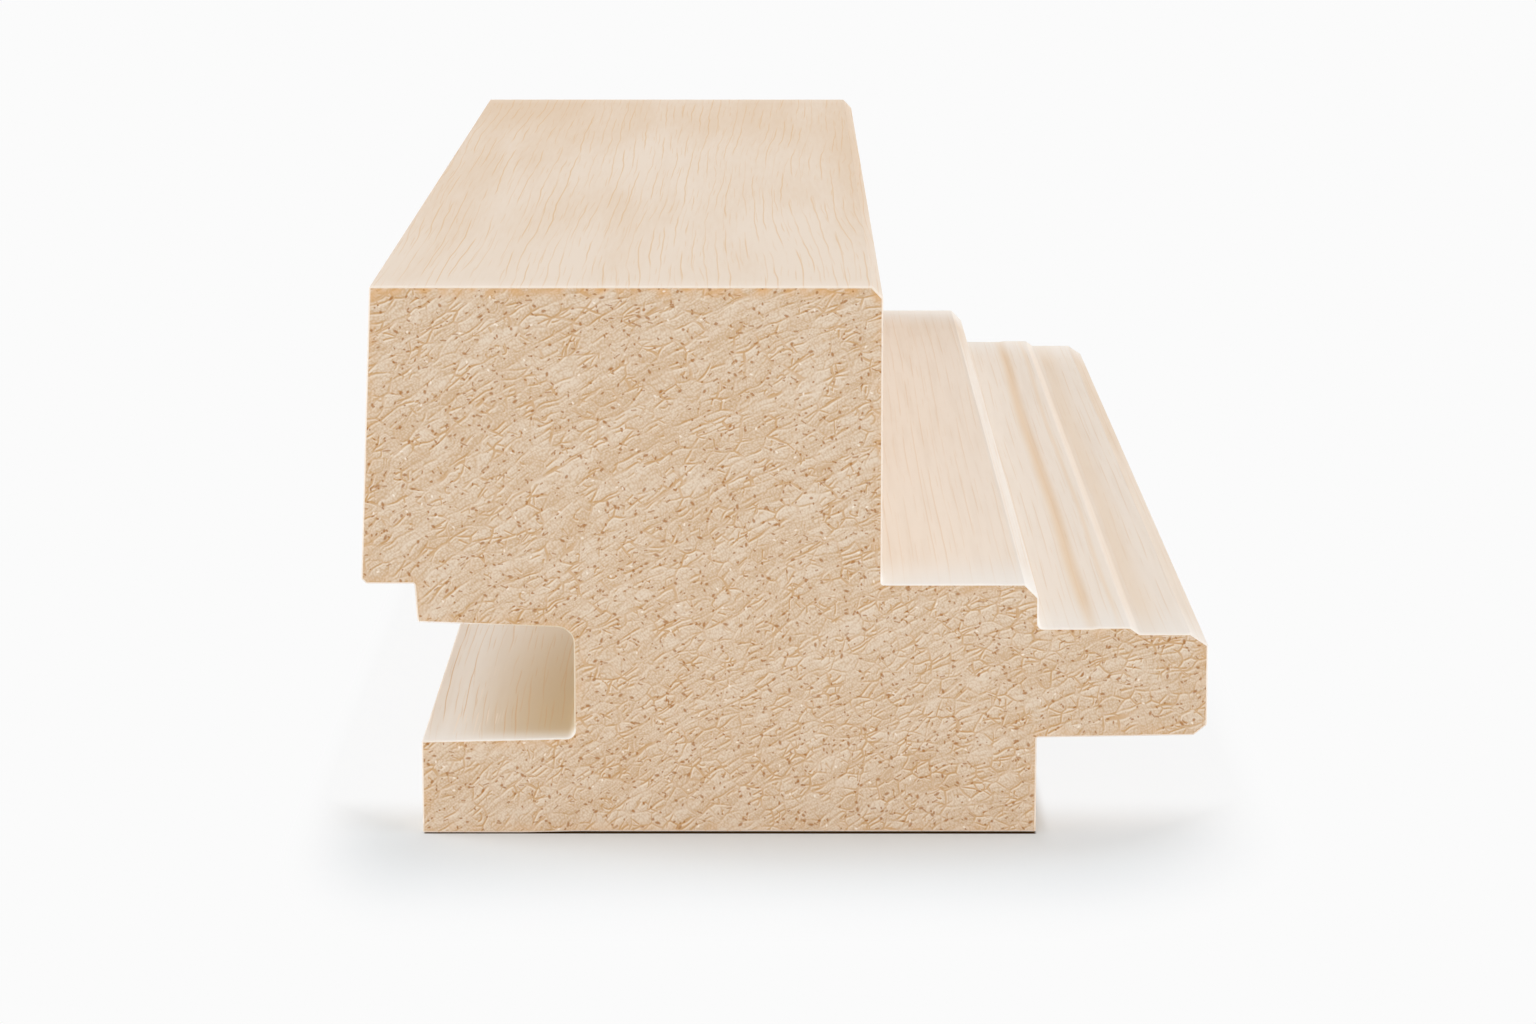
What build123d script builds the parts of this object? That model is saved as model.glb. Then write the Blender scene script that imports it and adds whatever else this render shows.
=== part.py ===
"""Tongue-and-groove wood siding board with a raised block face, as a short cut length.

The board is one piece of planed solid wood, the same section from end to end, with square-cut ends.
It lies on its flat back. The block stands up from the body, the tongue reaches out on +X, and the
groove that takes the next board's tongue opens on -X between the block's lip and the back flange.

Sizes are in millimetres. Z is up from the flat back, X runs across the board, Y runs along the grain,
and the origin is the middle of the back.
"""

import os

from build123d import *

# Overall sizes
BOARD_LENGTH = 150.0  # between the two saw cuts
BOARD_THICKNESS = 42.0  # from the flat back to the top of the block

# Block, the raised batten that shows on the wall
BLOCK_WIDTH = 39.3  # across its widest, at the underside
BLOCK_LEAN = 0.93  # how far the groove side leans in by the top
BLOCK_CHAMFER_ACROSS = 0.83  # eased top edge on the tongue side
BLOCK_CHAMFER_DOWN = 0.87
OVERHANG_CHAMFER = 0.38  # small bevel at the foot of the groove side

# Shelf, the floor of the shadow gap beside the block
SHELF_HEIGHT = 19.4  # above the back, and also the height of the block's underside
SHELF_WIDTH = 11.85  # from the block's side to the step
SHELF_CHAMFER = 1.05

# Tongue
TONGUE_REACH = 12.85  # past the step
TONGUE_UNDERSIDE = 7.5  # height of its root above the back
TONGUE_THICKNESS = 8.5  # at its root
TONGUE_UNDERSIDE_RISE = 0.2  # the underside rises this much to the tip
PAD_START = 4.1  # the raised bearing band, measured from the step
PAD_WIDTH = 3.0
PAD_RISE = 0.08
PAD_RAMP = 0.4  # length of the slope down from the band to the relieved outer part
TONGUE_RELIEF = 0.42  # the outer part lies this much lower than the root
TIP_CHAMFER_TOP_ACROSS = 1.35
TIP_CHAMFER_TOP_DOWN = 0.9
TIP_CHAMFER_UNDER_ACROSS = 1.0
TIP_CHAMFER_UNDER_UP = 0.8
STEP_ROOT_RADIUS = 0.35  # inside corner between the step and the tongue

# Groove, cut to take the tongue of the next board
LIP_SETBACK = 4.0  # the lip stands back from the block's foot, so that it clears the next board's step
LIP_LEAN = 0.2  # the lip's face leans in by its lower edge
LIP_GAP = 0.85  # left between lip and step when the tongue meets the groove's root
GROOVE_ROOF_RISE = 0.43  # the roof opens up towards the mouth
GROOVE_FLOOR_FALL = 0.27  # the floor falls away towards the mouth
GROOVE_ROOF_RADIUS = 1.3
GROOVE_FLOOR_RADIUS = 0.6

# Back flange and body
FLANGE_SETBACK = 0.2  # the flange stands back from the lip's lower edge
BODY_SETBACK = 0.05  # the body's tongue side stands back from the step

# Places across the board, from the block's foot on the groove side
BLOCK_SIDE = BLOCK_WIDTH
STEP = BLOCK_SIDE + SHELF_WIDTH
TIP = STEP + TONGUE_REACH
LIP_TOP = LIP_SETBACK
LIP_FOOT = LIP_TOP + LIP_LEAN
GROOVE_ROOT = LIP_TOP + TONGUE_REACH - LIP_GAP
FLANGE_EDGE = LIP_FOOT + FLANGE_SETBACK
BODY_SIDE = STEP - BODY_SETBACK
MIDDLE = TIP / 2

# Heights above the back
TONGUE_TOP = TONGUE_UNDERSIDE + TONGUE_THICKNESS
TONGUE_OUTER_TOP = TONGUE_TOP - TONGUE_RELIEF
TIP_UNDERSIDE = TONGUE_UNDERSIDE + TONGUE_UNDERSIDE_RISE
GROOVE_MOUTH_ROOF = TONGUE_TOP + GROOVE_ROOF_RISE
GROOVE_MOUTH_FLOOR = TONGUE_UNDERSIDE - GROOVE_FLOOR_FALL


def block_outline():
    """From the lip round the block's underside, sides and top, and down to the shelf."""
    return [
        (LIP_FOOT, GROOVE_MOUTH_ROOF),
        (LIP_TOP, SHELF_HEIGHT),
        (OVERHANG_CHAMFER, SHELF_HEIGHT),
        (0, SHELF_HEIGHT + OVERHANG_CHAMFER),
        (BLOCK_LEAN, BOARD_THICKNESS),
        (BLOCK_SIDE - BLOCK_CHAMFER_ACROSS, BOARD_THICKNESS),
        (BLOCK_SIDE, BOARD_THICKNESS - BLOCK_CHAMFER_DOWN),
        (BLOCK_SIDE, SHELF_HEIGHT),
    ]


def tongue_outline():
    """From the shelf's chamfer down the step, out along the tongue's top and back along its underside."""
    pad_end = STEP + PAD_START + PAD_WIDTH
    return [
        (STEP - SHELF_CHAMFER, SHELF_HEIGHT),
        (STEP, SHELF_HEIGHT - SHELF_CHAMFER),
        step_root(),
        (STEP + PAD_START, TONGUE_TOP),
        (STEP + PAD_START + PAD_RISE, TONGUE_TOP + PAD_RISE),
        (pad_end, TONGUE_TOP + PAD_RISE),
        (pad_end + PAD_RAMP, TONGUE_OUTER_TOP),
        (TIP - TIP_CHAMFER_TOP_ACROSS, TONGUE_OUTER_TOP),
        (TIP, TONGUE_OUTER_TOP - TIP_CHAMFER_TOP_DOWN),
        (TIP, TIP_UNDERSIDE + TIP_CHAMFER_UNDER_UP),
        (TIP - TIP_CHAMFER_UNDER_ACROSS, TIP_UNDERSIDE),
        (BODY_SIDE, TONGUE_UNDERSIDE),
    ]


def back_outline():
    """From the body's tongue side across the flat back to the flange, and into the groove."""
    return [
        (BODY_SIDE, 0),
        (FLANGE_EDGE, 0),
        (FLANGE_EDGE, GROOVE_MOUTH_FLOOR),
        groove_floor_root(),
        groove_roof_root(),
    ]


def step_root():
    return (STEP, TONGUE_TOP)


def groove_floor_root():
    return (GROOVE_ROOT, TONGUE_UNDERSIDE)


def groove_roof_root():
    return (GROOVE_ROOT, TONGUE_TOP)


def centred(point):
    """A point of the outline moved so that the section's middle is at x = 0."""
    across, up = point
    return (across - MIDDLE, up)


def rounded(section, corner, radius):
    """The section with one corner rounded."""
    place = Vector(*centred(corner))
    found = min(section.vertices(), key=lambda vertex: (Vector(*vertex) - place).length)
    return fillet(found, radius)


def board_section():
    """The planed section, across X and up Y of its own plane."""
    corners = [centred(point) for point in block_outline() + tongue_outline() + back_outline()]
    section = make_face(Polyline(*corners, close=True))
    section = rounded(section, step_root(), STEP_ROOT_RADIUS)
    section = rounded(section, groove_floor_root(), GROOVE_FLOOR_RADIUS)
    return rounded(section, groove_roof_root(), GROOVE_ROOF_RADIUS)


def siding_board():
    """The section carried along the grain, half the length each way from the origin."""
    return extrude(Plane.XZ * board_section(), BOARD_LENGTH / 2, both=True)


os.makedirs("parts", exist_ok=True)
board = siding_board()
board.label = "siding_board"
export_step(board, "parts/siding_board.step")
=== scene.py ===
"""Dresses a short length of tongue-and-groove siding board: planed long faces and sawn end grain.

The file is laid out as an add-on. Its panel, in the sidebar of the 3D view, lists the steps, and main
takes them in order. Sizes are in metres in the mesh and in millimetres where a name ends in _mm.
X runs across the board towards the tongue, Y along the grain away from the viewer, and Z up.
"""

import math

import bpy
import numpy as np
from mathutils.geometry import delaunay_2d_cdt
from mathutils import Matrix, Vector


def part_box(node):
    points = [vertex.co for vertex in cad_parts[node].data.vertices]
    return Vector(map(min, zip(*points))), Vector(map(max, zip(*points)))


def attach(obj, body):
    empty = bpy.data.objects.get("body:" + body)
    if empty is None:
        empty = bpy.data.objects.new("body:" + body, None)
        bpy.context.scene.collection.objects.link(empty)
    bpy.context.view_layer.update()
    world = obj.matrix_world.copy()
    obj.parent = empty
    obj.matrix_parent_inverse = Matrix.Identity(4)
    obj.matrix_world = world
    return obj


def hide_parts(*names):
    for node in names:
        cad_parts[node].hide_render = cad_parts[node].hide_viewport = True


bl_info = {
    "name": "Siding Board Dresser",
    "version": (1, 0, 0),
    "blender": (4, 5, 0),
    "location": "View3D > Sidebar > Siding",
    "description": "Builds a planed siding board with sawn ends, and the stage it lies on",
    "category": "Object",
}

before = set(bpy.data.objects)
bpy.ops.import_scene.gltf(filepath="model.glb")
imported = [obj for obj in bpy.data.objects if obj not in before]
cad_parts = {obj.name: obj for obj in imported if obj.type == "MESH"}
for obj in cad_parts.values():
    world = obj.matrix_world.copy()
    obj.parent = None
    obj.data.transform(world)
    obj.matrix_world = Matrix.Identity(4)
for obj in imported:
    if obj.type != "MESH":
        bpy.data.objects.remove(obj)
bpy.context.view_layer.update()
NODE = "siding_board"
PIECE = "planed_board"
MM = 0.001
NODE_LOW, NODE_HIGH = [[float(value) for value in corner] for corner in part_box(NODE)]
HALF_LENGTH = (NODE_HIGH[1] - NODE_LOW[1]) / MM / 2


# Properties

def size(name, text, default, low=0.0, high=200.0):
    """A length in millimetres that a user can change."""
    return bpy.props.FloatProperty(name=name, description=text, default=default, min=low, max=high,
                                   precision=3)


def tint(name, text, red, green, blue):
    """A colour that a user can change, given as it shows on a screen, from 0 to 255."""
    linear = [screen_to_linear(level / 255) for level in (red, green, blue)]
    return bpy.props.FloatVectorProperty(name=name, description=text, subtype="COLOR", size=3,
                                         default=linear, min=0.0, max=1.0)


def screen_to_linear(level):
    """One channel of a screen colour as linear light: the usual piecewise curve, power 2.4."""
    return level / 12.92 if level <= 0.04045 else ((level + 0.055) / 1.055) ** 2.4


class SidingSection(bpy.types.PropertyGroup):
    """Sizes of the planed section, in millimetres."""

    thickness: size("Thickness", "From the flat back to the top of the block",
                    (NODE_HIGH[2] - NODE_LOW[2]) / MM)
    block_width: size("Block width", "Across the raised block at its foot", 39.3)
    block_lean: size("Block lean", "How far the groove side leans in by the top", 0.93)
    block_ease: size("Block top bevel", "Bevel on the tongue side of the block's top", 0.85)
    shelf_height: size("Shelf height", "Height of the shelf and of the block's underside", 19.4)
    shelf_width: size("Shelf width", "From the block to the step", 11.85)
    shelf_ease: size("Shelf bevel", "Bevel on the step's arris", 1.05)
    tongue_reach: size("Tongue reach", "How far the tongue stands out past the step", 12.85)
    tongue_low: size("Tongue underside", "Height of the tongue's underside at its root", 7.5)
    tongue_thick: size("Tongue thickness", "At the root", 8.5)
    pad_start: size("Band start", "From the step to the tongue's raised bearing band", 4.1)
    pad_width: size("Band width", "Across the raised bearing band", 3.0)
    lip_back: size("Lip setback", "How far the lip stands back from the block's foot", 4.0)
    lip_gap: size("Lip gap", "Left between the lip and the next board's step", 0.85)


class SidingFinish(bpy.types.PropertyGroup):
    """Colours and sizes of the bare wood's surface."""

    long_pale: tint("Long grain, pale", "The planed faces between the darker bands", 232, 215, 197)
    long_warm: tint("Long grain, warm", "The darker bands of the planed faces", 223, 198, 171)
    vessel: tint("Vessel lines", "The thin lines of cut vessels along the planed faces", 218, 174, 112)
    golden: tint("Golden stripes", "The stripes along the tongue's bearing band", 238, 195, 134)
    # Painted shade: this tint darkens the groove's root
    painted_root_shade: tint("Sheltered wood", "The darker wood at the root of the groove", 214, 195, 160)
    # Painted light: this tint lifts the groove, the step's bevel and the low faces near the ends
    clean: tint("Clean wood", "The palest wood, as at the mouth of the groove", 252, 248, 243)
    end_pale: tint("End grain, pale", "The sawn ends between the lines", 232, 215, 195)
    end_warm: tint("End grain, warm", "The darker patches of the sawn ends", 212, 182, 149)
    # Painted highlight: this tint is the pale side beside each torn line
    ridge_highlight: tint("Ridges", "The pale edges beside the torn lines", 248, 236, 220)
    # Also painted shade: this tint makes the faint tan round each torn line, as well as their dark cores
    furrow_and_shade: tint("Furrows", "The torn lines on the sawn ends", 197, 148, 86)
    pore: tint("Pores", "The open pores on the sawn ends", 168, 108, 44)
    rim: tint("Rim", "The warm edge of the sawn ends", 221, 170, 110)
    # Both wear and painted light: the rubbed arris with a painted highlight, the paler shelf and tongue,
    # the tongue band's highlight, chips and specks
    wear_and_painted_light: tint("Worn arris", "The rubbed edges and low faces, and loose specks", 253, 241, 228)
    arris_mm: size("Arris", "How far the sharp edges are worn round", 0.15)
    relief_mm: size("Relief", "Depth of the uneven sawn ends", 0.13)


class SidingStage(bpy.types.PropertyGroup):
    """Floor, lamps and camera."""

    floor_half: bpy.props.FloatProperty(name="Floor half width", description="Half the floor's side",
                                        default=4.0, unit="LENGTH")
    floor_tint: tint("Floor", "Colour of the floor where no shadow falls", 251, 251, 251)
    shade_ahead: size("Shade ahead", "How far before the board's ends its shadow fades away", 26.0)
    shade_aside: size("Shade aside", "How far beside the board's back its shadow fades away", 9.0)
    lens: bpy.props.FloatProperty(name="Lens", description="Focal length on a 36 mm sensor",
                                  default=109.07)
    pitch: bpy.props.FloatProperty(name="Pitch", description="How far the camera looks down",
                                   default=math.radians(10.39), subtype="ANGLE")
    turn: bpy.props.FloatProperty(name="Turn", description="How far the camera is turned to the left",
                                  default=math.radians(0.09), subtype="ANGLE")


# Section

# Small sizes of the section, in millimetres
PLANED_ARRIS = 0.14
BLOCK_BEVEL_SKEW = 0.02  # the bevel on the block's top is this much deeper, and this much narrower
FOOT_BEVEL = 0.38  # at the block's foot, on the groove side
STEP_RADIUS = 0.35
BAND_RISE = 0.08  # the bearing band above the tongue's root
BAND_SLOPE = 0.5  # across the slope up to the band
BAND_FALL = (0.15, 0.55)  # how far before the band's end its slope down starts, and past it ends
BAND_RADII = (0.2, 0.35)  # at its slope up and at its slope down
TONGUE_RELIEF = 0.42  # the outer part of the tongue below its root
TIP_TOP_BEVEL = (1.35, 0.9)  # across and down
TIP_UNDER_BEVEL = (1.0, 1.0)  # across, and up from the underside's root
TONGUE_UNDER_RISE = 0.2
BODY_SETBACK = 0.05
LIP_LEAN = 0.2
FLANGE_SETBACK = 0.2
ROOF_RISE = 0.43  # of the groove's roof, from its root to its mouth
FLOOR_FALL = 0.27
ROOF_RADIUS = 1.3
FLOOR_RADIUS = 0.6


def section_corners(sizes):
    """Corners of the section, going round from the flange's foot, as rows of across, up and radius.

    Every row is a corner of the planed section in millimetres, measured across from the block's foot
    and up from the flat back. The radius is what rounds that corner.
    """
    s = sizes
    arris = PLANED_ARRIS
    step = s.block_width + s.shelf_width
    tip = step + s.tongue_reach
    root = s.lip_back + s.tongue_reach - s.lip_gap
    tongue_top = s.tongue_low + s.tongue_thick
    outer_top = tongue_top - TONGUE_RELIEF
    band_top = tongue_top + BAND_RISE
    band = step + s.pad_start
    band_end = band + s.pad_width
    body = step - BODY_SETBACK
    lip_foot = s.lip_back + LIP_LEAN
    flange = lip_foot + FLANGE_SETBACK
    rows = [
        (flange, 0, arris), (body, 0, arris), (body, s.tongue_low, arris),
        (tip - TIP_UNDER_BEVEL[0], s.tongue_low + TONGUE_UNDER_RISE, arris),
        (tip, s.tongue_low + TIP_UNDER_BEVEL[1], arris),
        (tip, outer_top - TIP_TOP_BEVEL[1], arris), (tip - TIP_TOP_BEVEL[0], outer_top, arris),
        (band_end + BAND_FALL[1], outer_top, BAND_RADII[1]),
        (band_end - BAND_FALL[0], band_top, BAND_RADII[1]),
        (band + BAND_SLOPE, band_top, BAND_RADII[0]), (band, tongue_top, BAND_RADII[0]),
        (step, tongue_top, STEP_RADIUS), (step, s.shelf_height - s.shelf_ease, arris),
        (step - s.shelf_ease, s.shelf_height, arris), (s.block_width, s.shelf_height, arris),
        (s.block_width, s.thickness - s.block_ease - BLOCK_BEVEL_SKEW, arris),
        (s.block_width - s.block_ease + BLOCK_BEVEL_SKEW, s.thickness, arris),
        (s.block_lean, s.thickness, arris),
        (0, s.shelf_height + FOOT_BEVEL, arris), (FOOT_BEVEL, s.shelf_height, arris),
        (s.lip_back, s.shelf_height, arris), (lip_foot, tongue_top + ROOF_RISE, arris),
        (root, tongue_top, ROOF_RADIUS), (root, s.tongue_low, FLOOR_RADIUS),
        (flange, s.tongue_low - FLOOR_FALL, arris),
    ]
    table = np.array(rows, float)
    table[:, 0] -= tip / 2
    return table


def round_corners(table):
    """The outline with each corner replaced by an arc.

    For a corner with unit directions a and b to its neighbours and an opening angle phi, the arc of
    radius r touches both sides at r / tan(phi / 2) from the corner, and its centre lies along a + b at
    r / sin(phi / 2). Each arc is cut into equal turns of at most 15 degrees.
    """
    points = []
    places, radii = table[:, :2], table[:, 2]
    for here, before, after, radius in zip(places, np.roll(places, 1, 0), np.roll(places, -1, 0), radii):
        a = (before - here) / np.linalg.norm(before - here)
        b = (after - here) / np.linalg.norm(after - here)
        half = math.acos(float(np.clip(a @ b, -1, 1))) / 2
        reach = radius / math.tan(half)
        centre = here + (a + b) / np.linalg.norm(a + b) * radius / math.sin(half)
        first, last = here + a * reach - centre, here + b * reach - centre
        start = math.atan2(first[1], first[0])
        sweep = math.remainder(math.atan2(last[1], last[0]) - start, 2 * math.pi)
        count = max(2, math.ceil(abs(sweep) / math.radians(15)))
        turn = start + sweep * np.arange(count + 1) / count
        points.append(centre + radius * np.stack([np.cos(turn), np.sin(turn)], 1))
    return np.concatenate(points)


def divide(points, step):
    """A closed line with each side cut into equal pieces no longer than step."""
    following = np.roll(points, -1, 0)
    counts = np.maximum(1, np.ceil(np.linalg.norm(following - points, axis=1) / step)).astype(int)
    owner = np.repeat(np.arange(len(points)), counts)
    share = (np.arange(counts.sum()) - np.repeat(np.cumsum(counts) - counts, counts)) / counts[owner]
    return points[owner] + (following - points)[owner] * share[:, None]


def outward(points):
    """Unit normals of a closed anticlockwise line: the chord between the two neighbours, turned right."""
    chord = np.roll(points, -1, 0) - np.roll(points, 1, 0)
    chord /= np.linalg.norm(chord, axis=1)[:, None]
    return np.stack([chord[:, 1], -chord[:, 0]], 1)


def inside_and_distance(points, line):
    """Which points lie inside a closed line, by counting crossings, and how far each is from it."""
    inside = np.zeros(len(points), bool)
    nearest = np.full(len(points), np.inf)
    for a, b in zip(line, np.roll(line, -1, 0)):
        side = b - a
        share = np.clip(((points - a) @ side) / max(side @ side, 1e-12), 0, 1)
        nearest = np.minimum(nearest, np.linalg.norm(points - a - share[:, None] * side, axis=1))
        if a[1] != b[1]:
            crosses = (a[1] > points[:, 1]) != (b[1] > points[:, 1])
            inside ^= crosses & (points[:, 0] < a[0] + side[0] * (points[:, 1] - a[1]) / side[1])
    return inside, nearest


# Relief of the sawn ends

PITH_X = 72.7  # where the growth rings would centre, in millimetres
PITH_Z = -117.0
RING_REACH = 170.0  # turns an angle about the pith into millimetres along a ring
RELIEF_CELL = (3.6, 1.9)  # along the ring and out from the pith
RELIEF_SMALL_CELL = (1.5, 1.1)
SEED_TABLE = 97  # the seeds repeat after this many cells


def facets(u, v, seed):
    """Cells round scattered seeds, one seed in each unit square.

    Returns half the difference of the distances to the two nearest seeds, which is about the distance
    to the cell's wall, and a height that tilts each cell its own way about its seed.
    """
    draw = np.random.default_rng(seed).random((SEED_TABLE, SEED_TABLE, 4))
    column, row = np.floor(u).astype(int), np.floor(v).astype(int)
    best = np.full(u.shape, np.inf)
    second = np.full(u.shape, np.inf)
    tilt = np.zeros(u.shape)
    for step_u in (-2, -1, 0, 1, 2):
        for step_v in (-2, -1, 0, 1, 2):
            found = draw[(column + step_u) % SEED_TABLE, (row + step_v) % SEED_TABLE]
            du = u - (column + step_u + found[..., 0])
            dv = v - (row + step_v + found[..., 1])
            away = np.hypot(du, dv)
            nearer = away < best
            second = np.where(nearer, best, np.minimum(second, away))
            tilt = np.where(nearer, du * (found[..., 2] - 0.5) + dv * (found[..., 3] - 0.5), tilt)
            best = np.where(nearer, away, best)
    return (second - best) / 2, tilt


def ring_places(x, z):
    """Places on the end in growth-ring terms: millimetres along the ring, and out from the pith."""
    across, up = x - PITH_X, z - PITH_Z
    return np.arctan2(across, up) * RING_REACH, np.hypot(across, up)


def sawn_relief(x, z, depth, seed):
    """How deep each point of an end lies under its highest point, from 0 to depth.

    The height is a long wave left by the saw, plus the tilt of large and small cells stretched along the
    growth rings, less a dip at each cell's wall that fades within about a tenth of the cell. The heights
    between the lowest and the highest hundredth are scaled to the depth.
    """
    along, out = ring_places(x, z)
    bend = 0.5 * np.sin(along * 0.45 + seed) + 0.35 * np.sin(out * 0.9 + along * 0.2)
    wall, tilt = facets((along + bend) / RELIEF_CELL[0], (out + bend) / RELIEF_CELL[1], seed)
    small_along, small_out = (along - bend) / RELIEF_SMALL_CELL[0], (out + bend) / RELIEF_SMALL_CELL[1]
    small_wall, small_tilt = facets(small_along, small_out, seed + 1)
    wave = 0.2 * np.sin(x * 0.21 + z * 0.33 + seed)
    height = wave + 1.1 * tilt + 0.5 * small_tilt
    height = height - 0.5 * np.exp(-wall / 0.06) - 0.25 * np.exp(-small_wall / 0.08)
    low, high = np.percentile(height, [1, 99])
    return depth * (1 - np.clip((height - low) / (high - low), 0, 1))


# Mesh

def lattice(line, spacing, seed):
    """Points scattered over the inside of a line: a square grid, each point moved a little by chance."""
    low, high = line.min(0), line.max(0)
    count = np.ceil((high - low) / spacing).astype(int)
    grid_x, grid_z = np.meshgrid(np.arange(count[0]) + 0.5, np.arange(count[1]) + 0.5, indexing="ij")
    points = low + np.stack([grid_x.ravel(), grid_z.ravel()], 1) * (high - low) / count
    points += np.random.default_rng(seed).uniform(-0.22, 0.22, points.shape) * spacing
    inside, nearest = inside_and_distance(points, line)
    return points[inside & (nearest > 0.6 * spacing)]


def fill(ring, inner):
    """Triangles over the inside of a ring, anticlockwise, through all of its points and the inner ones."""
    points = np.concatenate([ring, inner])
    found = delaunay_2d_cdt(points.tolist(), [], [list(range(len(ring)))], 1, 1e-6)
    if len(found[0]) != len(points):
        raise RuntimeError("the end's points ran together")
    return np.array(found[2])


OUTLINE_STEP = 0.26  # longest side of the outline
END_SPACINGS = (0.2, 0.27)  # between the points of the near and the far end
END_SEEDS = (5, 11)
MIDDLE_STATIONS = 9


def carry(ring, arris):
    """The outline carried along Y: the stations' places, and the outline at each station.

    At each end the outline turns over the arris on a quarter circle: at a turn t it is drawn in by
    0.8 * arris * (1 - cos t) and lies arris * (1 - sin t) from the end. Over the last 1.3 mm, what rests
    on the floor is lifted by 0.07 mm, and by 0.17 mm towards the tongue.
    """
    turns = np.radians([90, 60, 30, 0])
    inset = arris * (1 - np.cos(turns)) * 0.8
    depth = arris * (1 - np.sin(turns))
    near_end = np.array([0.35, 1.5])
    middle = np.linspace(-HALF_LENGTH * 0.85, HALF_LENGTH * 0.85, MIDDLE_STATIONS)
    stations = np.concatenate([-HALF_LENGTH + depth, -HALF_LENGTH + near_end, middle,
                               HALF_LENGTH - near_end[::-1], HALF_LENGTH - depth[::-1]])
    insets = np.concatenate([inset, np.zeros(len(stations) - 2 * len(inset)), inset[::-1]])
    section = ring[None] - outward(ring)[None] * insets[:, None, None]
    lift = np.clip(1 - ring[:, 1] / 0.5, 0, 1) * (0.07 + 0.10 * np.clip((ring[:, 0] + 20) / 4, 0, 1))
    section[..., 1] += np.clip(1 - (HALF_LENGTH - abs(stations)) / 1.3, 0, 1)[:, None] * lift
    return stations, section


def sawn_end(line, corners, spacing, seed, depth):
    """The points inside an end's outline, its triangles, how deep each point lies and how far in it is.

    The relief is a quarter as deep at the edge, and as deep as elsewhere from 0.8 mm in.
    """
    inner = lattice(line, spacing, seed)
    triangles = fill(line, inner)
    everything = np.concatenate([line, inner])
    sunk = sawn_relief(everything[:, 0], everything[:, 1], depth, seed)
    _, edge = inside_and_distance(everything, corners)
    return inner, triangles, sunk * np.clip(edge / 0.8, 0.25, 1), edge


def board_mesh(name, sizes, finish):
    """The whole board as one closed surface.

    The outline is carried along Y through rings that turn over the arris at each end, and a sawn face
    with the saw's relief closes each end.
    """
    corners = round_corners(section_corners(sizes))
    ring = divide(corners, OUTLINE_STEP)
    around = np.concatenate([[0], np.cumsum(np.linalg.norm(np.roll(ring, -1, 0) - ring, axis=1))])
    count = len(ring)
    stations, section = carry(ring, finish.arris_mm)
    lengths = np.broadcast_to(stations[:, None], section.shape[:2])
    rings = np.stack([section[..., 0], lengths, section[..., 1]], -1)
    ends = [sawn_end(section[end], corners, spacing, seed, finish.relief_mm)
            for end, spacing, seed in zip((0, -1), END_SPACINGS, END_SEEDS)]

    for order, share in ((0, 1.0), (1, 0.7)):
        rings[order, :, 1] += ends[0][2][:count] * share
        rings[-1 - order, :, 1] -= ends[1][2][:count] * share

    ring_total = len(stations) * count
    index = np.arange(ring_total).reshape(len(stations), count)
    here, there = index, np.roll(index, -1, 1)
    quads = np.stack([here[:-1], here[1:], there[1:], there[:-1]], -1).reshape(-1, 4)

    points = [rings.reshape(-1, 3)]
    edge_mm = [np.zeros(ring_total)]
    triangles = []
    first_inner = ring_total
    for (inner, tris, sunk, edge), place, sign in zip(ends, (0, len(stations) - 1), (1, -1)):
        points.append(np.stack([inner[:, 0], sign * (-HALF_LENGTH + sunk[count:]), inner[:, 1]], 1))
        edge_mm.append(edge[count:])
        numbers = np.concatenate([index[place], first_inner + np.arange(len(inner))])
        triangles.append(numbers[tris] if sign > 0 else numbers[tris[:, ::-1]])
        first_inner += len(inner)
    points = np.concatenate(points)
    edge_mm = np.concatenate(edge_mm)
    edge_mm[index[0]] = ends[0][3][:count]
    edge_mm[index[-1]] = ends[1][3][:count]

    mesh = bpy.data.meshes.new(name)
    faces = quads.tolist() + triangles[0].tolist() + triangles[1].tolist()
    mesh.from_pydata((points * MM).tolist(), [], faces)
    on_end = np.arange(len(faces)) >= len(quads)
    mesh.polygons.foreach_set("material_index", on_end.astype(int))
    mesh.polygons.foreach_set("use_smooth", np.ones(len(faces), bool))
    edge_field = mesh.attributes.new("edge_mm", "FLOAT", "POINT")
    edge_field.data.foreach_set("value", edge_mm.astype(np.float32))
    write_maps(mesh, unwrap_long(around, stations, count), around[-1],
               [points[tris.reshape(-1)][:, [0, 2]] for tris in triangles])
    mesh.validate()
    mesh.update()
    return mesh


def write_maps(mesh, grain, girth, caps):
    """Adds a map in real lengths, which the long grain reads, and a map of the whole piece in one square.

    In the square the long faces fill the upper part, and the two ends lie side by side under them.
    """
    write_map(mesh, "Grain", [grain * MM, caps[0] * MM, caps[1] * MM])
    near, far = 0.0097, 0.0052  # of the square, to a millimetre of each end
    half_width = NODE_HIGH[0] / MM
    write_map(mesh, "OFBake", [
        grain * [0.98 / girth, 0.55 / (2 * HALF_LENGTH)] + [0.01, 0.7],
        caps[0] * near + [0.01 + near * half_width, 0.01],
        caps[1] * far + [0.65 + far * half_width, 0.01],
    ])


def unwrap_long(around, stations, count):
    """Places round the section and along the board, in millimetres, for each corner of each side face."""
    column = np.arange(count)
    low, high = around[column], around[column + 1]
    corners = np.empty((len(stations) - 1, count, 4, 2))
    corners[..., 0, 0] = corners[..., 1, 0] = low
    corners[..., 2, 0] = corners[..., 3, 0] = high
    corners[..., 0, 1] = corners[..., 3, 1] = stations[:-1, None]
    corners[..., 1, 1] = corners[..., 2, 1] = stations[1:, None]
    return corners.reshape(-1, 2)


def write_map(mesh, name, parts):
    """Adds a UV map to a mesh from places given face corner by face corner."""
    chart = mesh.uv_layers.new(name=name)
    chart.data.foreach_set("uv", np.concatenate(parts).astype(np.float32).ravel())


# Shader sums

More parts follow.
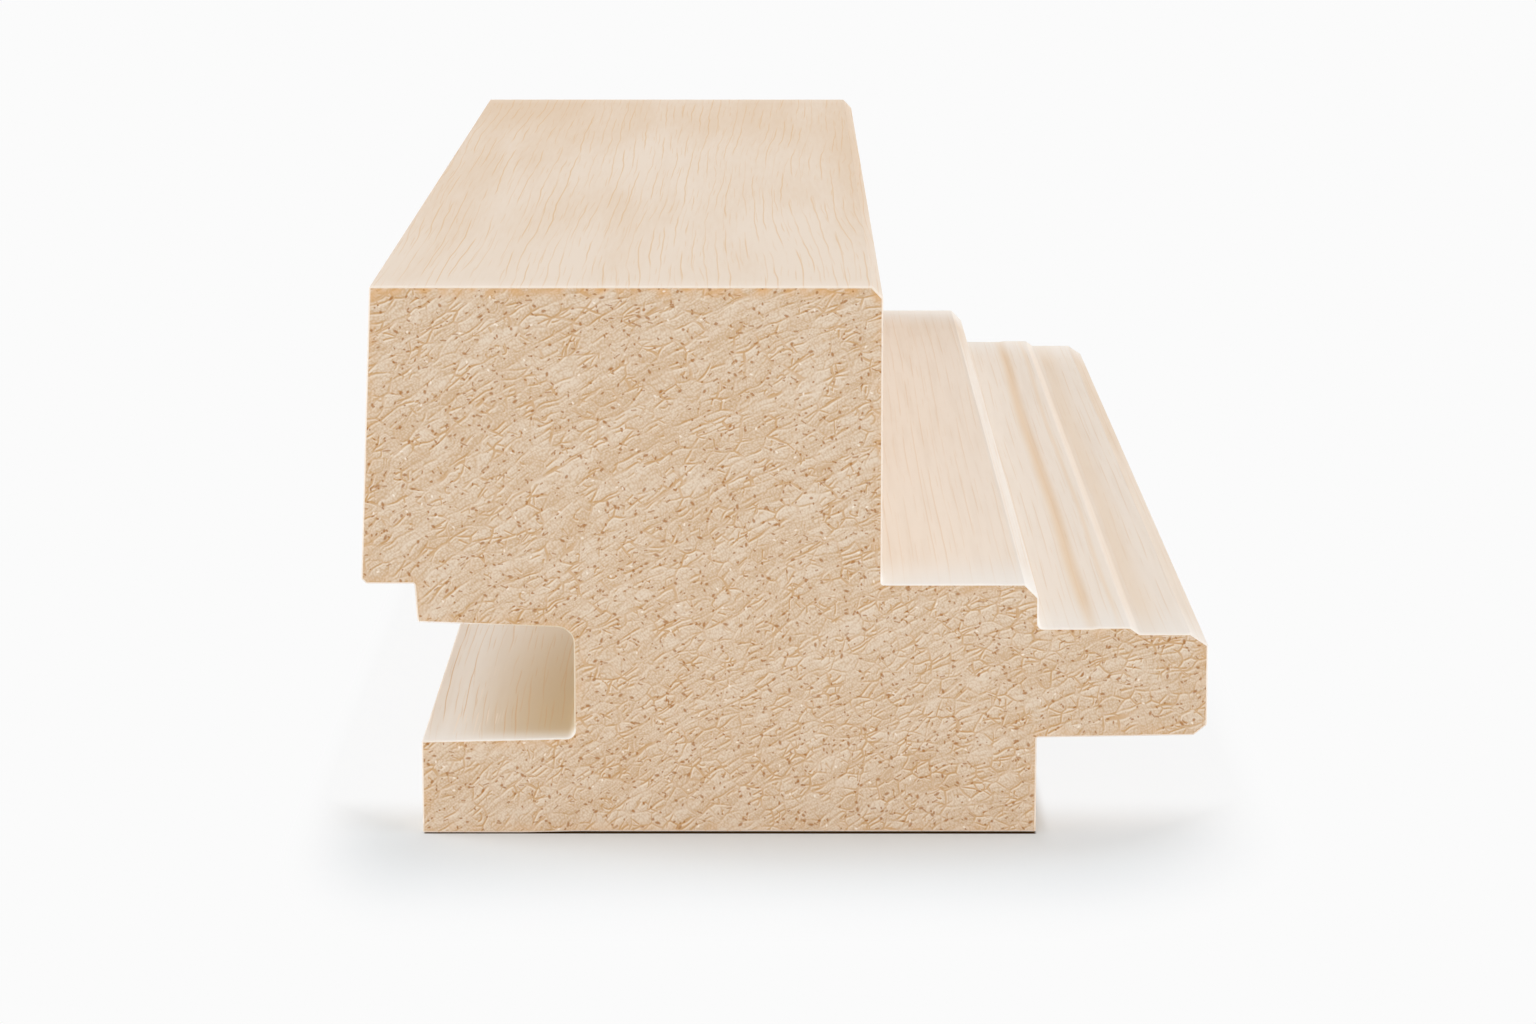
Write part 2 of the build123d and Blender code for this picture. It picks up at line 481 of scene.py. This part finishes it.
class Wire:
    """A socket of a node tree, on which sums are written as Python expressions."""

    def __init__(self, tree, socket=None):
        self.tree = tree
        self.socket = socket

    def node(self, kind, settings=None, sockets=None, out=0):
        """One output of a new node, after its settings and then its sockets' values or links are set."""
        made = self.tree.nodes.new(kind)
        for name, value in (settings or {}).items():
            setattr(made, name, value)
        for name, value in (sockets or {}).items():
            if isinstance(value, Wire):
                self.tree.links.new(value.socket, made.inputs[name])
            else:
                made.inputs[name].default_value = value
        return Wire(self.tree, made.outputs[out])

    def sum(self, operation, *values):
        """One Math node's result."""
        return self.node("ShaderNodeMath", {"operation": operation}, dict(enumerate(values)))

    def __add__(self, other):
        return self.sum("ADD", self, other)

    def __radd__(self, other):
        return self.sum("ADD", other, self)

    def __sub__(self, other):
        return self.sum("SUBTRACT", self, other)

    def __rsub__(self, other):
        return self.sum("SUBTRACT", other, self)

    def __mul__(self, other):
        return self.sum("MULTIPLY", self, other)

    def __rmul__(self, other):
        return self.sum("MULTIPLY", other, self)

    def __truediv__(self, other):
        return self.sum("DIVIDE", self, other)

    def __rtruediv__(self, other):
        return self.sum("DIVIDE", other, self)

    def __neg__(self):
        return self.sum("MULTIPLY", self, -1.0)

    def __abs__(self):
        return self.sum("ABSOLUTE", self)

    def most(self, other):
        """The larger of two values."""
        return self.sum("MAXIMUM", self, other)

    def ease(self, start, end):
        """0 at start and 1 at end, easing in and out between them."""
        return self.node("ShaderNodeMapRange", {"interpolation_type": "SMOOTHSTEP"},
                         {"Value": self, "From Min": start, "From Max": end})

    def between(self, start, full, fade, end):
        """1 from full to fade, and 0 before start and past end."""
        return self.ease(start, full) * (1 - self.ease(fade, end))

    def vector(self, x, y, z=0.0):
        return self.node("ShaderNodeCombineXYZ", None, {"X": x, "Y": y, "Z": z})

    def noise(self, x, y, z, detail=0.0):
        """A smooth noise from 0 to 1, of waves about 1 long, at a place given by three numbers."""
        return self.node("ShaderNodeTexNoise", None,
                         {"Vector": self.vector(x, y, z), "Scale": 1.0, "Detail": detail})

    def chance(self, place):
        """A draw from 0 to 1 for each place in a plane."""
        return self.node("ShaderNodeTexWhiteNoise", {"noise_dimensions": "2D"}, {"Vector": place})

    def cells(self, place, feature="F1", chance=1.0, out=0):
        """Cells round scattered seeds, about one to each unit square of a plane."""
        return self.node("ShaderNodeTexVoronoi", {"voronoi_dimensions": "2D", "feature": feature},
                         {"Vector": place, "Scale": 1.0, "Randomness": chance}, out)

    def blend(self, first, second):
        """A colour from first to second as this value goes from 0 to 1."""
        return self.node("ShaderNodeMix", {"data_type": "RGBA"}, {0: self, 6: first, 7: second}, 2)


def rgba(colour):
    return (colour[0], colour[1], colour[2], 1.0)


def new_material(name):
    """An empty material's start: its tree, its surface shader and its output joined up."""
    material = bpy.data.materials.new(name)
    material.use_nodes = True
    tree = material.node_tree
    tree.nodes.clear()
    shader = tree.nodes.new("ShaderNodeBsdfPrincipled")
    output = tree.nodes.new("ShaderNodeOutputMaterial")
    tree.links.new(shader.outputs[0], output.inputs["Surface"])
    return material, Wire(tree), shader


def parts(at, vector):
    """The three numbers of a vector."""
    split = at.node("ShaderNodeSeparateXYZ", None, {0: vector}).socket.node
    return [Wire(at.tree, number) for number in split.outputs]


def in_mm(at, vector):
    """The three numbers of a vector in metres, in millimetres."""
    return parts(at, at.node("ShaderNodeVectorMath", {"operation": "SCALE"}, {0: vector, "Scale": 1 / MM}))


def places_mm(at):
    """The object's own coordinates in millimetres."""
    return in_mm(at, at.node("ShaderNodeTexCoord", out=3))


def length(at, u, v):
    """The length of a vector of two numbers."""
    return at.sum("SQRT", u * u + v * v)


def link(at, wire, socket):
    at.tree.links.new(wire.socket, socket)


# Planed long grain

# Places across the board from its middle, about where its colour changes, in millimetres
GROOVE_MOUTH = -27.0
GROOVE_ROOT = -15.9
BLOCK_SIDE = 7.0
STEP = 19.15
STEP_BEVEL = 17.8
TIP_BEVEL = 30.5
GROOVE_ROOF = 16.5  # above the flat back

# Sets of vessel lines: spacing, shift, how far along their breaks lie, half width, the noise at which a
# line starts to show, and strength
VESSEL_SETS = ((0.84, 0.0, 22, 0.09, 0.40, 1.0), (0.53, 40.0, 9, 0.13, 0.47, 0.6))


def vessel_lines(at, around, along, calm):
    """Thin broken lines of cut vessels along the board, from 0 to 1.

    Each set numbers its lines round the section. They sway and lean where calm is 1, and run straight
    where it is 0.
    """
    lean = (at.noise(around / 20, along / 80, 2.0) - 0.5) * calm * 4
    lines = None
    for spacing, shift, stretch, width, start, strength in VESSEL_SETS:
        sway = (at.noise(around / 3, along / 26 + shift, 1.0) - 0.5) * 0.9
        sway = sway + (at.noise(around / 1.5, along / 6 + shift, 3.0) - 0.5) * 0.22
        count = (around + sway * calm + lean) / spacing + shift
        line = at.sum("FLOOR", count)
        off = abs(count - line - 0.5)
        there = at.noise(line * 3.7, along / stretch, 4.0, detail=1.0)
        force = 0.45 + 0.55 * at.chance(at.vector(line, shift))
        mark = (1 - off.ease(width * 0.3, width)) * there.ease(start, start + 0.16) * force * strength
        lines = mark if lines is None else lines.most(mark)
    return lines


def low_faces(sizes, x, z):
    """Masks of the inside of the groove, and of it with the shelf and the tongue."""
    groove = z.between(sizes.tongue_low - 0.4, sizes.tongue_low - 0.2, GROOVE_ROOF, GROOVE_ROOF + 0.5)
    groove = groove * (1 - x.ease(GROOVE_ROOT, GROOVE_ROOT + 0.4))
    low = (x.ease(BLOCK_SIDE - 2, BLOCK_SIDE) * z.ease(10.0, 13.0)).most(groove)
    return groove, low * (1 - z.ease(sizes.shelf_height + 0.2, sizes.shelf_height + 1.5))


def tongue_stripes(at, sizes, finish, colour, x, z, along):
    """A colour with the stripes of the tongue's top.

    Golden ones lie at both sides of the bearing band and in it, a warm one on its slope down, and a painted
    highlight along its high edge.
    """
    band_low = sizes.block_width + sizes.shelf_width + sizes.pad_start + NODE_LOW[0] / MM
    band_high = band_low + sizes.pad_width
    tongue_top = sizes.tongue_low + sizes.tongue_thick
    on_top = z.between(tongue_top - 1.2, tongue_top - 0.9, tongue_top + 0.4, tongue_top + 0.7)
    place = x + (at.noise(along / 40, 6.0, 0.0) - 0.5) * 0.8
    inner = 1 - abs(place - band_low + 0.1).ease(0.0, 0.9)
    in_band = (1 - abs(place - band_low - 2.05).ease(0.0, 0.35)) * 0.5
    outer = place.between(band_high + 0.2, band_high + 1.2, band_high + 1.2, band_high + 3.2) * 0.5
    golden = inner.most(in_band).most(outer)
    slope = x.between(band_high - 0.2, band_high, band_high + 0.5, band_high + 0.8)
    # Painted highlight along the bearing band's high edge
    pale = 1 - abs(place - band_high + 0.1).ease(0.25, 0.8)
    colour = (slope * on_top * 0.4).blend(colour, rgba(finish.long_warm))
    colour = (pale * on_top * 0.3).blend(colour, rgba(finish.wear_and_painted_light))
    return (golden * on_top * 0.45).blend(colour, rgba(finish.golden))


def long_grain(sizes, finish):
    """Planed long faces: pale bands from the growth rings, and thin broken vessel lines along Y.

    The shelf and the tongue are paler than the block, partly the wood's own tone and partly painted light;
    the groove is lifted with painted light, most at its mouth, with painted shade at its root, and the long
    faces darken towards the far end with painted shade. The ends are pale, partly wear and partly a painted
    highlight.
    """
    material, at, shader = new_material("planed_long_grain")
    x, y, z = places_mm(at)
    around, along, _ = in_mm(at, at.node("ShaderNodeUVMap", {"uv_map": "Grain"}))
    drift = at.noise(x / 14, y / 70, z / 14, detail=1.0) - 0.5
    out = length(at, x - PITH_X, z - PITH_Z)
    band = at.noise((out + drift * 4) / 3.0, y / 160, 3.0, detail=2.0)
    broad = at.noise(x / 16, y / 60, z / 16, detail=1.0)
    fleck = at.noise(around / 0.35, along / 6, 2.0, detail=1.0)
    # Painted shade: the long faces grow warmer and darker towards the far end through along * 0.0020
    tone = (band * 0.5 + broad * 0.5 + fleck * 0.14 + along * 0.0020 - 0.03).ease(0.38, 0.74)
    colour = tone.blend(rgba(finish.long_pale), rgba(finish.long_warm))

    # How far the low faces go to the palest tint, partly the wood's own paler tone and partly painted
    # light, less along faint veins, and less towards the shelf's far end as painted shade
    groove, low = low_faces(sizes, x, z)
    open_low = low * (1 - groove)
    on_tongue = x.ease(STEP - 1.15, STEP + 1.85)
    bevel = x.between(STEP_BEVEL, STEP_BEVEL + 0.4, STEP, STEP + 0.15)
    # Painted light: the groove's floor is paler towards its mouth
    mouth = groove * (1 - x.ease(GROOVE_MOUTH, GROOVE_MOUTH + 6))
    # Painted shade at the groove's root, strongest near the near end
    root = groove * x.ease(GROOVE_MOUTH + 0.5, GROOVE_ROOT - 1.1) * (1 - y.ease(-72, 0))
    vein = at.noise(around / 0.8, along / 26, 7.0, detail=1.0).ease(0.42, 0.72)
    vein = vein + at.noise(around / 0.28, along / 4, 11.0).ease(0.5, 0.8) * 0.4
    # Painted shade: the shelf darkens towards its far end
    far = y.ease(10, 75) * (1 - on_tongue) * (1 - groove)
    fair = 0.88 + 0.12 * mouth + 0.14 * on_tongue - vein * 0.14 - 0.2 * far
    fair = fair - bevel * 0.40 - x.ease(TIP_BEVEL, TIP_BEVEL + 0.3) * 0.7
    palest = groove.most(bevel).blend(rgba(finish.wear_and_painted_light), rgba(finish.clean))
    colour = (low * (1 - root) * fair).blend(colour, palest)
    colour = (root * 0.8).blend(colour, rgba(finish.painted_root_shade))

    # The lines run nearly straight on the shelf and the tongue, and small chips lie in the groove's mouth
    lines = vessel_lines(at, around, along, 1 - open_low * 0.75)
    colour = (lines * (0.58 - open_low * 0.34 + groove * 0.06)).blend(colour, rgba(finish.vessel))
    chips = at.noise(around / 0.17, along / 9, 3.0).ease(0.68, 0.72) * (1 - y.ease(-60, -45))
    from_mouth = x - GROOVE_MOUTH
    chips = chips * from_mouth.between(0.5, 1.5, 4.5, 5.5)
    colour = (groove * chips * 0.8).blend(colour, rgba(finish.wear_and_painted_light))
    colour = tongue_stripes(at, sizes, finish, colour, x, z, along)

    # Ends pale over a millimetre and faintly over 5 mm, partly wear and partly a painted highlight along
    # the arris, and painted light on the low faces over the last centimetre or so
    groove_walls = groove * z.ease(8.0, 8.5)
    # Partly wear and partly a painted highlight along the ends' arris
    rubbed = abs(along).ease(HALF_LENGTH - 1.0, HALF_LENGTH - 0.3) * 0.6
    rubbed = rubbed.most(abs(along).ease(HALF_LENGTH - 5, HALF_LENGTH) * 0.18)
    rubbed = rubbed * z.ease(0.4, 0.9) * (1 - groove_walls * 0.45)
    colour = rubbed.blend(colour, rgba(finish.wear_and_painted_light))
    # Painted light: the low faces paler over the last centimetre or so before each end
    glow = low * (1 - groove_walls) * abs(along).ease(groove * 9.5 + (HALF_LENGTH - 13), HALF_LENGTH)
    colour = (glow * (0.7 - on_tongue * 0.28)).blend(colour, rgba(finish.clean))

    link(at, colour, shader.inputs["Base Color"])
    link(at, 0.56 + tone * 0.06 + lines * 0.1, shader.inputs["Roughness"])
    bump = at.node("ShaderNodeBump", None, {"Strength": 0.05, "Distance": 0.00004, "Height": -lines})
    link(at, bump, shader.inputs["Normal"])
    shader.inputs["Specular IOR Level"].default_value = 0.3
    return material


# Sawn end grain

CELL_LENGTH = 1.6  # of the net, along the growth ring, in millimetres
CELL_WIDTH = 0.95
SEAM_SPACING = 2.4
LINE_REACH = 0.32

# Sets of torn strokes: seed, size of the cell that holds one, turn, half length, and share that is kept.
# The first two sets follow the growth rings, and the third crosses them.
STROKE_SETS = (
    (3.0, (4.8, 1.15), (-0.06, 0.12), 2.3, 0.75),
    (8.0, (1.9, 0.9), (-0.2, 0.45), 0.7, 0.5),
    (14.0, (1.1, 0.9), (0.8, 1.5), 0.38, 0.4),
)

# Sets of pores: size of the cell that holds one, seed, share of the cells that have one, and radius
PORE_SETS = ((0.95, 5.0, 0.30, 0.085), (1.3, 9.0, 0.36, 0.13), (0.62, 13.0, 0.10, 0.095))


def scattered(at, across, up, seed, size, turn=(0.0, 2 * math.pi)):
    """Scattered spots, about one to a cell of a size in millimetres.

    Returns the place seen from the nearest spot and turned by a random angle, between the first of turn
    and the first plus the second, and two draws that belong to the spot.
    """
    place = at.vector(across / size[0] + seed, up / size[1] + seed * 1.7)
    spot = at.cells(place, out=2)
    draws = parts(at, Wire(at.tree, spot.socket.node.outputs[1]))
    away = at.node("ShaderNodeVectorMath", {"operation": "SUBTRACT"}, {0: place, 1: spot})
    away = at.node("ShaderNodeVectorMath", {"operation": "MULTIPLY"}, {0: away, 1: (size[0], size[1], 1.0)})
    turned = at.node("ShaderNodeVectorRotate", {"rotation_type": "Z_AXIS"},
                     {"Vector": away, "Angle": draws[0] * turn[1] + turn[0]})
    u, v, _ = parts(at, turned)
    return u, v, draws[1], draws[2]


def nearness(away):
    """1 on a line and 0 where it is LINE_REACH or more away."""
    return 1 - away.ease(0.0, LINE_REACH)


def strokes(at, along, out, seed, size, turn, half_length, share):
    """How near the nearest of some scattered straight strokes is, each up to twice half_length long."""
    u, v, draw, keep = scattered(at, along, out, seed, size, turn)
    past = (abs(u) - (0.4 + 0.6 * draw) * half_length).most(0.0)
    return nearness(length(at, past, v)) * keep.ease(1 - share, 1.02 - share)


def torn_lines(at, x, z):
    """How near the nearest torn line of a sawn end is, from 0 to 1, at a place in millimetres.

    Long seams and long strokes follow the growth rings, and short strokes cross them. A net of cells
    and small arcs lie among them, each kind in its own patches. Also returns the place along the ring
    and out from the pith, shaken a little so that no line runs true.
    """
    u, v = x - PITH_X, z - PITH_Z
    along = at.sum("ARCTAN2", u, v) * RING_REACH
    out = length(at, u, v)
    out = out + (at.noise(x / 9, z / 9, 1.0) - 0.5) * 1.6
    out = out + (at.noise(x / 1.1, z / 1.1, 9.0) - 0.5) * 0.36
    along = along + (at.noise(x / 1.1, z / 1.1, 15.0) - 0.5) * 0.4
    open_part = (x - z).ease(-45, 15)

    seam_place = (out + (at.noise(along / 7, out / 2, 6.0) - 0.5) * 1.6) / SEAM_SPACING
    seam = at.sum("ROUND", seam_place)
    shown = at.noise(along / 5, seam * 7.3, 0.0).ease(0.40, 0.47)
    lines = nearness(abs(seam_place - seam) * SEAM_SPACING) * shown
    for stroke_set in STROKE_SETS:
        lines = lines.most(strokes(at, along, out, *stroke_set))
    net = at.cells(at.vector(along / CELL_LENGTH, out / CELL_WIDTH), "DISTANCE_TO_EDGE")
    shown = at.noise(x / 3, z / 3, 4.0).ease(0.42, 0.56).most(open_part * 0.75)
    lines = lines.most(nearness(net * CELL_WIDTH) * (0.87 + shown * 0.13))
    arc_u, arc_v, bend, keep = scattered(at, along, out, 3.0, (1.15, 1.15))
    arc_out = length(at, arc_u, arc_v)
    arcs = nearness(abs(arc_out - 0.16 - bend * 0.25)) * (arc_u / arc_out).ease(-0.1, 0.4)
    return lines.most(arcs * (keep + open_part * 0.2).ease(0.6, 0.65)), along, out


def open_pores(at, x, z, lines):
    """Small oval pores, from 0 to 1, more of them where the torn lines are."""
    pores = None
    for spread, seed, share, radius in PORE_SETS:
        u, v, draw, keep = scattered(at, x, z, seed, (spread, spread))
        spot = 1 - length(at, u / (1 + 1.2 * draw), v).ease(radius * 0.4, radius * 1.15)
        spot = spot * (keep + lines * 0.3).ease(1.13 - share, 1.18 - share)
        pores = spot if pores is None else pores.most(spot)
    return pores


def warm_rim(at, sizes, x, z):
    """How warm the edge of an end is, from 0 to 1: broken inwards, and strongest along the top."""
    edge = at.node("ShaderNodeAttribute", {"attribute_name": "edge_mm"}, out=2)
    broken = (1 - edge.ease(0.0, 1.3)) * at.noise(x / 1.1, z / 1.1, 6.0).ease(0.25, 0.75)
    broken = broken * (0.32 + 0.6 * z.ease(sizes.thickness - 2, sizes.thickness))
    return broken.most((1 - edge.ease(0.0, 0.3)) * 0.45)


def end_grain(sizes, finish):
    """Sawn ends: torn lines along and across the growth rings with painted shade and highlights, pores and
    a warm rim.
    """
    material, at, shader = new_material("sawn_end_grain")
    x, y, z = places_mm(at)
    lines, along, out = torn_lines(at, x, z)
    highlight_lines, _, _ = torn_lines(at, x - 0.06, z + 0.12)

    # The ground tone: cells under a fine screen, and patches, streaks and hairs along the growth rings
    _, _, cell_tone, _ = scattered(at, along, out, 0.0, (CELL_LENGTH, CELL_WIDTH))
    screen = at.cells(at.vector(along / 0.2, out / 0.2), chance=0.8)
    patch = at.noise(x / 9, z / 9, 3.0, detail=2.0)
    streak = at.noise(along / 7, out / 0.55, 5.0, detail=1.0)
    hair = at.noise(along / 2.2, out / 0.13, 3.0)
    sweep = at.noise(along / 24, out / 1.5, 8.0, detail=1.0)
    tone = patch * 0.2 + cell_tone * 0.25 + streak * 0.65 + sweep * 0.65 + screen * 0.8 + hair * 0.55
    colour = tone.ease(1.02, 1.93).blend(rgba(finish.end_pale), rgba(finish.end_warm))

    # Each torn line with a faint painted shade round it, a painted highlight on the raised edge beside it
    # and a dark core, of changing force
    force = at.noise(x / 1.4, z / 1.4, 2.0).ease(0.3, 0.7)
    core = lines.ease(0.82, 0.975)
    # Painted shade: a faint tan round each torn line
    colour = (lines * (0.08 + force * 0.14)).blend(colour, rgba(finish.furrow_and_shade))
    # Painted highlight: pale beside each torn line, below it and to the right
    painted_highlights = highlight_lines.ease(0.80, 0.97) * (0.18 + force * 0.38)
    colour = painted_highlights.blend(colour, rgba(finish.ridge_highlight))
    colour = (core * (0.12 + force * 0.56)).blend(colour, rgba(finish.furrow_and_shade))
    dashes = strokes(at, along, out, 21.0, (0.95, 0.95), (-0.3, 1.3), 0.2, 0.22)
    colour = (dashes.ease(0.85, 0.97) * 0.6).blend(colour, rgba(finish.pore))
    colour = warm_rim(at, sizes, x, z).blend(colour, rgba(finish.rim))
    colour = (open_pores(at, x, z, lines) * 0.76).blend(colour, rgba(finish.pore))
    speck_u, speck_v, _, keep = scattered(at, x, z, 30.0, (1.8, 1.8))
    specks = (1 - length(at, speck_u * 0.6, speck_v).ease(0.04, 0.10)) * keep.ease(0.75, 0.8)
    colour = (specks * 0.8).blend(colour, rgba(finish.wear_and_painted_light))

    link(at, colour, shader.inputs["Base Color"])
    link(at, 0.72 + tone * 0.08, shader.inputs["Roughness"])
    height = hair * 0.4 - core * 0.9 - screen * 0.2
    bump = at.node("ShaderNodeBump", None, {"Strength": 0.3, "Distance": 0.00008, "Height": height})
    link(at, bump, shader.inputs["Normal"])
    shader.inputs["Specular IOR Level"].default_value = 0.2
    return material


# Stage

FOOT_MIDDLE = -4.2  # across the part of the board that rests on the floor, in millimetres
FOOT_HALF = 23.3
FLOOR_GREY = (0.87, 0.912, 0.945, 1.0)  # the shaded floor, as the camera sees it
# Painted shadow: near-black under the board, seen through the gap at its lifted foot as a dark contact line
FLOOR_PAINTED_SHADOW = (0.10, 0.055, 0.025, 1.0)  # the floor under the board
AIR_LEVEL = 0.40  # of full white, for the rays that light the board

# Each lamp's name, the direction that it shines from, its spread in degrees, and its share of full white
LAMPS = (
    ("softbox_above", (0.0, 0.33, 1.0), 32, 0.07),
    ("softbox_front", (-0.2, -1.0, 0.20), 50, 0.26),
    ("softbox_left", (-1.0, -0.3, 0.35), 50, 0.21),
    ("softbox_right", (1.0, -0.25, 0.35), 50, 0.29),
    ("softbox_far_left", (-1.0, 0.3, 0.60), 40, 0.33),
    ("softbox_far_right", (1.0, 0.3, 0.60), 40, 0.22),
)
CAMERA_PLACE = (-0.00076, -0.4194, 0.08807)  # in metres


def seen(at):
    """1 for rays from the camera, and for reflected and transmitted ones."""
    kinds = [at.node("ShaderNodeLightPath", out=name) for name in
             ("Is Camera Ray", "Is Glossy Ray", "Is Transmission Ray")]
    return kinds[0].most(kinds[1]).most(kinds[2])


def floor_material(stage):
    """A pale floor that lights the board as plain white, shows its shadow near it, and is white beyond.

    What the camera sees is the shaded floor close to the ends, fading to plain white over shade_ahead
    before them and shade_aside beside them. Beside the board's length it fades at once, and less wholly.
    """
    material, at, shader = new_material("pale_floor")
    tree = at.tree
    shader.inputs["Base Color"].default_value = (0.95, 0.95, 0.95, 1.0)
    shader.inputs["Roughness"].default_value = 1.0
    shader.inputs["Specular IOR Level"].default_value = 0.0
    glow = at.node("ShaderNodeEmission", None, {"Color": rgba(stage.floor_tint), "Strength": 1.0})
    x, y, _ = places_mm(at)
    beside, before = abs(x - FOOT_MIDDLE) - FOOT_HALF, abs(y) - HALF_LENGTH
    # Painted shadow under the board's footprint, in the floor's colour as the camera sees it
    contact_shadow = (1 - beside.ease(-0.1, 0.1)) * (1 - before.ease(-0.1, 0.1))
    shown = at.node("ShaderNodeBsdfDiffuse", None, {"Color": contact_shadow.blend(FLOOR_GREY, FLOOR_PAINTED_SHADOW)})
    tongue_side = x.ease(-5, 5)
    aside = beside.most(0.0) / (stage.shade_aside * (1 + 0.9 * tongue_side))
    ahead = before.most(0.0) / stage.shade_ahead
    behind = (-before).ease(1 - 7 * tongue_side, 12.0)
    lift = length(at, aside, ahead).ease(0.18, 1.15).most(aside.ease(0.0, 0.08) * behind * 0.91)
    lifted = at.node("ShaderNodeMixShader", None, {0: lift, 1: shown, 2: glow})
    both = at.node("ShaderNodeMixShader", None, {0: seen(at), 1: Wire(tree, shader.outputs[0]), 2: lifted})
    output = next(node for node in tree.nodes if node.bl_idname == "ShaderNodeOutputMaterial")
    link(at, both, output.inputs["Surface"])
    return material


def add_sun(name, source, spread, share):
    """A soft sun that shines from a direction, spread over an angle in degrees.

    A white surface that faces it shows as its share of full white, since a sun of strength pi does so.
    """
    sun = bpy.data.lights.new(name, "SUN")
    sun.angle = math.radians(spread)
    sun.energy = share * math.pi
    holder = bpy.data.objects.new(name, sun)
    bpy.context.collection.objects.link(holder)
    x, y, z = source
    holder.rotation_euler = (math.atan2(math.hypot(x, y), z), 0, math.atan2(x, -y))
    return holder


class SIDING_OT_board(bpy.types.Operator):
    """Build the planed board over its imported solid"""

    bl_idname = "siding.board"
    bl_label = "Planed board"

    def execute(self, context):
        scene = context.scene
        mesh = board_mesh(PIECE, scene.siding_section, scene.siding_finish)
        mesh.materials.append(long_grain(scene.siding_section, scene.siding_finish))
        mesh.materials.append(end_grain(scene.siding_section, scene.siding_finish))
        board = bpy.data.objects.new(PIECE, mesh)
        context.collection.objects.link(board)
        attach(board, "root")
        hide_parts(NODE)
        return {"FINISHED"}


class SIDING_OT_stage(bpy.types.Operator):
    """Set the floor, the world, the lamps and the camera"""

    bl_idname = "siding.stage"
    bl_label = "Stage"

    def execute(self, context):
        scene = context.scene
        stage = scene.siding_stage
        half = stage.floor_half
        mesh = bpy.data.meshes.new("studio_floor")
        corners = [(-half, -half, 0), (half, -half, 0), (half, half, 0), (-half, half, 0)]
        mesh.from_pydata(corners, [], [(0, 1, 2, 3)])
        mesh.materials.append(floor_material(stage))
        floor = bpy.data.objects.new("studio_floor", mesh)
        context.collection.objects.link(floor)

        world = bpy.data.worlds.new("studio_air")
        world.use_nodes = True
        scene.world = world
        at = Wire(world.node_tree)
        world.node_tree.nodes.clear()
        air = at.node("ShaderNodeBackground", None, {"Color": (1, 1, 1, 1), "Strength": AIR_LEVEL})
        shown = at.node("ShaderNodeBackground", None, {"Color": rgba(stage.floor_tint), "Strength": 1.0})
        both = at.node("ShaderNodeMixShader", None, {0: seen(at), 1: air, 2: shown})
        output = world.node_tree.nodes.new("ShaderNodeOutputWorld")
        link(at, both, output.inputs["Surface"])

        for lamp in LAMPS:
            add_sun(*lamp)

        camera = bpy.data.cameras.new("studio_camera")
        camera.lens, camera.sensor_width = stage.lens, 36.0
        camera.clip_start, camera.clip_end = 0.01, 50.0
        holder = bpy.data.objects.new("studio_camera", camera)
        context.collection.objects.link(holder)
        holder.location = CAMERA_PLACE
        holder.rotation_euler = (math.pi / 2 - stage.pitch, 0, stage.turn)
        scene.camera = holder
        scene.view_settings.view_transform = "Standard"
        return {"FINISHED"}


class SIDING_PT_panel(bpy.types.Panel):
    """Lists the steps in the sidebar of the 3D view"""

    bl_idname = "SIDING_PT_panel"
    bl_label = "Siding board"
    bl_space_type = "VIEW_3D"
    bl_region_type = "UI"
    bl_category = "Siding"

    def draw(self, context):
        for operator in (SIDING_OT_board, SIDING_OT_stage):
            self.layout.operator(operator.bl_idname)
        scene = context.scene
        for group in (scene.siding_section, scene.siding_finish, scene.siding_stage):
            box = self.layout.box()
            for name in group.bl_rna.properties.keys():
                if name not in ("rna_type", "name"):
                    box.prop(group, name)


CLASSES = (SidingSection, SidingFinish, SidingStage, SIDING_OT_board, SIDING_OT_stage, SIDING_PT_panel)


def register():
    for entry in CLASSES:
        bpy.utils.register_class(entry)
    bpy.types.Scene.siding_section = bpy.props.PointerProperty(type=SidingSection)
    bpy.types.Scene.siding_finish = bpy.props.PointerProperty(type=SidingFinish)
    bpy.types.Scene.siding_stage = bpy.props.PointerProperty(type=SidingStage)


def unregister():
    for name in ("siding_stage", "siding_finish", "siding_section"):
        delattr(bpy.types.Scene, name)
    for entry in reversed(CLASSES):
        bpy.utils.unregister_class(entry)


def main():
    register()
    bpy.ops.siding.stage()
    bpy.ops.siding.board()


if __name__ == "__main__":
    main()
